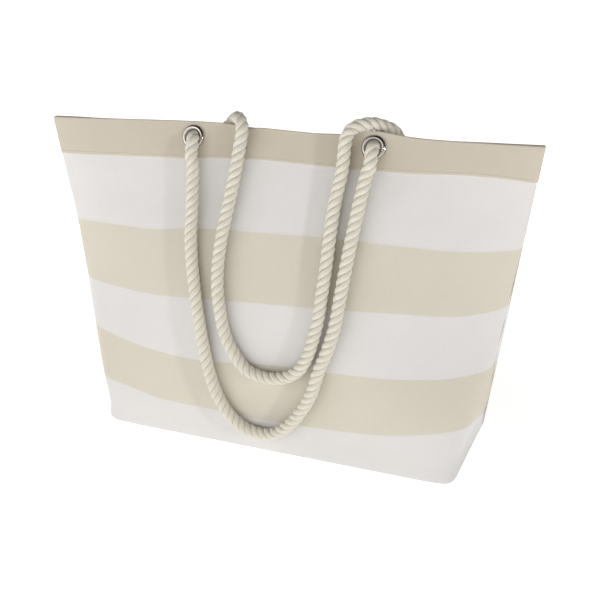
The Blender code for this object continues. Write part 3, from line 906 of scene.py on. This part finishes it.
def band_profile():
    """Round the fold from the outside leg's foot to the inside leg's: (drop, offset)."""
    outside, fold, inside = 14, 8, 8      # steps down each leg and round the fold
    middle = -CANVAS / 2
    reach = CANVAS / 2 + BAND_OUTSIDE - BAND_CLOTH / 2
    profile = [(BAND_HEIGHT * (1 - step / outside), middle + reach) for step in range(outside)]
    for step in range(fold + 1):
        angle = math.pi * step / fold
        profile.append((-reach * math.sin(angle), middle + reach * math.cos(angle)))
    profile += [(BAND_INSIDE * step / inside, middle - reach) for step in range(1, inside + 1)]
    return profile


def at_levels(values, fine, levels, share):
    """Values known at fine levels, read at these levels times each column's share."""
    read = np.empty((len(levels), *values.shape[1:]))
    for column, part in enumerate(share):
        for k in range(values.shape[2]):
            read[:, column, k] = np.interp(levels * part, fine, values[:, column, k])
    return read


def make_band(side, mat):
    """Strip folded over the rim: its cloth follows one line round the fold.

    Returns its outer points, whose first row is the foot of its outside leg.
    """
    foot_sink, foot_start = 0.0004, 0.93
    widths = column_widths(220)
    levels = np.array([max(drop, 0.0) for drop, _ in band_profile()]) / RIM_HEIGHT
    share = np.interp(widths, BAND_LINE[:, 0], BAND_LINE[:, 1]) / BAND_HEIGHT
    fine = np.linspace(0, 1.1 * BAND_HEIGHT / RIM_HEIGHT, 45)
    grid = at_levels(wall_grid(side, fine, widths), fine, levels, share)
    relief = at_levels(relief_grid(side, fine, widths)[..., None], fine, levels, share)[..., 0]
    flat = wall_grid(side, [0.0, 0.02], widths)
    normal = np.repeat(grid_normals(flat, side)[:1], len(levels), axis=0)
    middle = []
    for r, (drop, offset) in enumerate(band_profile()):
        foot = max(drop / BAND_HEIGHT - foot_start, 0.0) / (1 - foot_start) if offset > 0 else 0.0
        row = grid[r] + normal[r] * (relief[r] + offset - foot_sink * foot)[:, None]
        row[:, 2] -= min(drop, 0.0)
        middle.append(row)
    middle = np.array(middle)
    facing = facing_out(grid_normals(middle, 1), side, row=5)
    outer = middle + facing * (BAND_CLOTH / 2)
    inner = middle - facing * (BAND_CLOTH / 2)
    steps = run_along(middle[:, len(widths) // 2])
    band = shell(SIDE_NAME[side] + "_band", outer, inner, mat, widths, steps, flip=side == BACK)
    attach(band, "bag")
    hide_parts(SIDE_NAME[side] + "_rim_band")
    return outer


def stitch_row(name, line, away, mat):
    """Short rounded stitches along a line of points, half sunk in the cloth."""
    points = resampled(line, STITCH_PITCH)
    verts, faces = [], []
    rings, spokes = 5, 6
    sink, flatness = 0.6, 1.3
    for i in range(len(points) - 1):
        a, b = points[i], points[i + 1]
        ahead = (b - a) / np.linalg.norm(b - a)
        start = (a + b) / 2 - ahead * STITCH_LENGTH / 2
        lift = away[min(i, len(away) - 1)]
        beside = np.cross(ahead, lift)
        beside /= np.linalg.norm(beside)
        base = len(verts)
        for r in range(rings):
            share = r / (rings - 1)
            swell = math.sin(math.pi * (0.12 + 0.76 * share))
            height = STITCH_RADIUS * (1.1 * swell - sink)
            centre = start + ahead * STITCH_LENGTH * share + lift * height
            for s in range(spokes):
                angle = 2 * math.pi * s / spokes
                spoke = lift * math.cos(angle) + beside * math.sin(angle) * flatness
                verts.append(centre + STITCH_RADIUS * swell * spoke)
        faces += tube_faces(rings, spokes, base)
    obj = add_mesh(name, verts, faces, mat)
    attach(obj, "bag")
    return obj


def make_canvas(striped):
    """Both walls, the band round their rims, and the stitches above its foot."""
    plain = canvas_material("beige_canvas", BAND_BEIGE)
    thread = thread_material("beige_thread", THREAD_BEIGE)
    stitched_row = 1
    for side in (FRONT, BACK):
        make_panel(side, striped)
        outer = make_band(side, plain)
        line = outer[stitched_row]
        normal = facing_out(grid_normals(outer, 1), side, stitched_row)[stitched_row]
        count = int(round(run_along(line)[-1] / STITCH_PITCH)) + 1
        pick = np.linspace(0, len(normal) - 1, count).astype(int)
        stitches = stitch_row(SIDE_NAME[side] + "_band_stitches", line, normal[pick], thread)


# -------------------- eyelets


def make_eyelets():
    """Each eyelet's ring on the outside, and its washer on the inside."""
    nickel = nickel_material("eyelet_nickel")
    for side in (FRONT, BACK):
        for word, (centre, normal) in eyelet_places(side).items():
            name = f"{SIDE_NAME[side]}_{word}_eyelet"
            pieces = (("_ring", name, ring_profile()), ("_disc", name + "_washer", disc_profile()))
            for ending, node, profile in pieces:
                piece = turned(name + ending, centre, normal, profile, nickel)
                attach(piece, "bag")
                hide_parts(node)


def disc_profile():
    """Section of the flat washer against the inside of the band, as (radius, height)."""
    bevel = 0.0003
    seat = -(CANVAS + BAND_OUTSIDE) - GAP
    back = seat - WASHER_THICKNESS
    hole = BORE_RADIUS + 0.0013
    return [(hole, seat), (hole, back), (WASHER_RADIUS - bevel, back),
            (WASHER_RADIUS, back + bevel), (WASHER_RADIUS, seat)]


def ring_profile():
    """Section of the rolled flange and the barrel through the cloth, as (radius, height)."""
    wall, edge, steps = 0.0009, 0.0003, 20
    tail = -(CANVAS + BAND_OUTSIDE + 0.0024)
    inner, outer = BORE_RADIUS, EYELET_RADIUS
    middle, reach = (inner + outer) / 2, (outer - inner) / 2
    profile = [(inner + wall, tail), (inner + wall, FLANGE_SEAT), (outer - edge, FLANGE_SEAT)]
    for step in range(steps + 1):
        angle = math.pi * step / steps
        rise = (EYELET_HEIGHT - edge) * math.sin(angle)
        profile.append((middle + reach * math.cos(angle), FLANGE_SEAT + edge + rise))
    lip = (inner + 0.0004, tail - edge)
    return profile + [(inner, FLANGE_SEAT - 0.0006), (inner, tail), lip]


def turned(name, centre, axis, profile, mat):
    """Closed profile of (radius, height) points turned round an axis, as a solid ring."""
    along = axis.normalized()
    across = along.orthogonal().normalized()
    third = along.cross(across)
    steps, count = 64, len(profile)
    verts, faces = [], []
    for step in range(steps):
        angle = 2 * math.pi * step / steps
        spoke = across * math.cos(angle) + third * math.sin(angle)
        for radius, height in profile:
            verts.append(centre + spoke * radius + along * height)
    for step in range(steps):
        after = (step + 1) % steps
        for k in range(count):
            following = (k + 1) % count
            faces.append((step * count + k, after * count + k,
                          after * count + following, step * count + following))
    obj = add_mesh(name, verts, faces, mat)
    obj.data.set_sharp_from_angle(angle=math.radians(45))
    return obj


# -------------------- base and seams


def make_base(mat):
    """The bottom, its outline just inside the walls' bottom folds, lifted at both ends."""
    shares = (1.0, 0.985, 0.965, 0.94, 0.91, 0.88, 0.84, 0.8, 0.74, 0.65, 0.5, 0.3, 0.0)
    widths = column_widths(160)
    outer_x, outer_y = section_place(1.0, widths)
    inset = CANVAS + GAP
    x = outer_x * (1 - inset / half_width(1.0))
    y = np.maximum(outer_y - inset, 0.0)
    outline = np.r_[np.c_[x, -y], np.c_[x[::-1], y[::-1]]]
    outer = np.r_[np.c_[outer_x, -outer_y], np.c_[outer_x[::-1], outer_y[::-1]]]
    verts = []
    for rise in (BASE_RISE, BASE_RISE + CANVAS):
        for share in shares:
            points = np.c_[outline * share, np.full(len(outline), rise)]
            verts.append(points + corner_shift(outer[:, 0] * share, outer[:, 1] * share, 1.0))
    verts = np.concatenate(verts)
    count, rings = len(outline), len(shares)
    faces = []
    for layer in (0, 1):
        for r in range(rings - 1):
            for k in range(count):
                after = (k + 1) % count
                a = (layer * rings + r) * count
                quad = (a + k, a + after, a + count + after, a + count + k)
                faces.append(quad if layer else tuple(reversed(quad)))
    for k in range(count):
        after = (k + 1) % count
        faces.append((k, after, rings * count + after, rings * count + k))
    base = add_mesh("base_canvas", verts, faces, mat)
    set_uv(base.data, verts[:, :2])
    set_value(base.data, "stripe", np.full(len(verts), BELOW_STRIPES))
    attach(base, "bag")
    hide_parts("base_panel")


def make_side_seams(mat):
    """A low ridge down each side where the two panels are sewn together."""
    first, last = (BAND_HEIGHT + 0.002) / RIM_HEIGHT, 0.985
    levels = np.linspace(first, last, 90)
    steps, cloth_width = 8, 0.006
    stand, sink, wander_reach = 0.0002, 0.0003, 0.0003
    for hand, word in HANDS:
        edge = wall_grid(FRONT, levels, [hand * PANEL_WIDTH / 2])[:, 0]
        outer, inner = [], []
        for x, y, z in edge:
            wander = wander_reach * wave(z * 60, hand * 4.0, 1.0)
            arc, flat = [], []
            for step in range(steps + 1):
                angle = math.pi * step / steps
                across = y - RIDGE_HALF * math.cos(angle) + wander
                arc.append((x + hand * (stand + RIDGE_RISE * math.sin(angle)), across, z))
                flat.append((x - hand * sink, across, z))
            outer.append(arc)
            inner.append(flat)
        outer = np.array(outer)
        places = stripe_places(outer, np.full(steps + 1, hand * PANEL_EDGE))
        seam = shell(word + "_seam_ridge", outer, np.array(inner), mat,
                     np.linspace(0, cloth_width, steps + 1), levels * WALL_LENGTH, places,
                     flip=hand > 0)
        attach(seam, "bag")
        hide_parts(word + "_side_seam")


def dress_cad_nodes(tape):
    """The seam allowances inside the boxed corners keep their CAD shape, in cotton tape."""
    for node in ("left_corner_seam", "right_corner_seam"):
        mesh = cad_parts[node].data
        mesh.materials.clear()
        mesh.materials.append(tape)


# -------------------- floor and light


def make_stage():
    """A white floor with a glow that is weaker near the bag, so a faint shadow shows."""
    glow_at_bag, glow_per_metre, most_glow, half_size = 0.56, 0.50, 0.95, 30.0
    n = Nodes(bpy.data.materials.new("floor"))
    place = n.node("ShaderNodeTexCoord").outputs["Object"]
    cloud = n.noise(place, 3.0, 2.0)
    distance = n.node("ShaderNodeVectorMath", operation="LENGTH")
    n.link(place, distance.inputs[0])
    glow = n.math("MULTIPLY_ADD", distance.outputs["Value"], glow_per_metre, glow_at_bag)
    white = n.finish(Base_Color=n.mix(cloud, (0.93, 0.93, 0.93), (0.95, 0.95, 0.95)),
                     Roughness=0.9, Emission_Color=(1, 1, 1, 1),
                     Emission_Strength=n.math("MINIMUM", glow, most_glow))
    corners = [(x * half_size, y * half_size, 0) for x, y in ((-1, -1), (1, -1), (1, 1), (-1, 1))]
    add_mesh("floor", corners, [(0, 1, 2, 3)], white)


def area_light(name, place, aim, size, power):
    """A square light of this size in metres and power in watts."""
    data = bpy.data.lights.new(name, "AREA")
    data.shape = "SQUARE"
    data.size = size
    data.energy = power
    light = bpy.data.objects.new(name, data)
    light.location = place
    light.rotation_euler = (Vector(aim) - Vector(place)).to_track_quat("-Z", "Y").to_euler()
    bpy.context.scene.collection.objects.link(light)


def make_lights():
    """A white room, dark overhead and dimmer to the right above a white horizon.

    A small lamp stands far off at the right, and a big soft one at the left.
    """
    brightness = 1.10
    overhead = ((0.32, 1.0), (0.56, 0.45), (0.70, 0.02))
    rightward = ((0.0, 1.0), (0.50, 0.12))
    above_horizon = ((0.15, 1.0), (0.24, 0.0))
    world = bpy.context.scene.world or bpy.data.worlds.new("studio")
    bpy.context.scene.world = world
    n = Nodes(world)
    x, _, z = n.parts(n.node("ShaderNodeTexCoord").outputs["Generated"])
    walls = n.mix(1.0, n.ramp(x, rightward), n.ramp(z, above_horizon), "LIGHTEN")
    background = n.tree.nodes["Background"]
    n.link(n.mix(1.0, n.ramp(z, overhead), walls, "MULTIPLY"), background.inputs[0])
    background.inputs[1].default_value = brightness
    aim = (0, 0, 0.18)
    area_light("key", (4.6, -2.0, 1.3), aim, size=0.35, power=62)
    area_light("fill", (-2.0, -1.9, 1.2), aim, size=2.4, power=23)
    bpy.context.scene.view_settings.view_transform = "Standard"


make_camera()
make_ropes()
striped = canvas_material("striped_canvas", WHITE, BEIGE)
make_canvas(striped)
make_eyelets()
make_base(striped)
make_side_seams(striped)
dress_cad_nodes(canvas_material("seam_tape", TAPE_BEIGE))
make_stage()
make_lights()
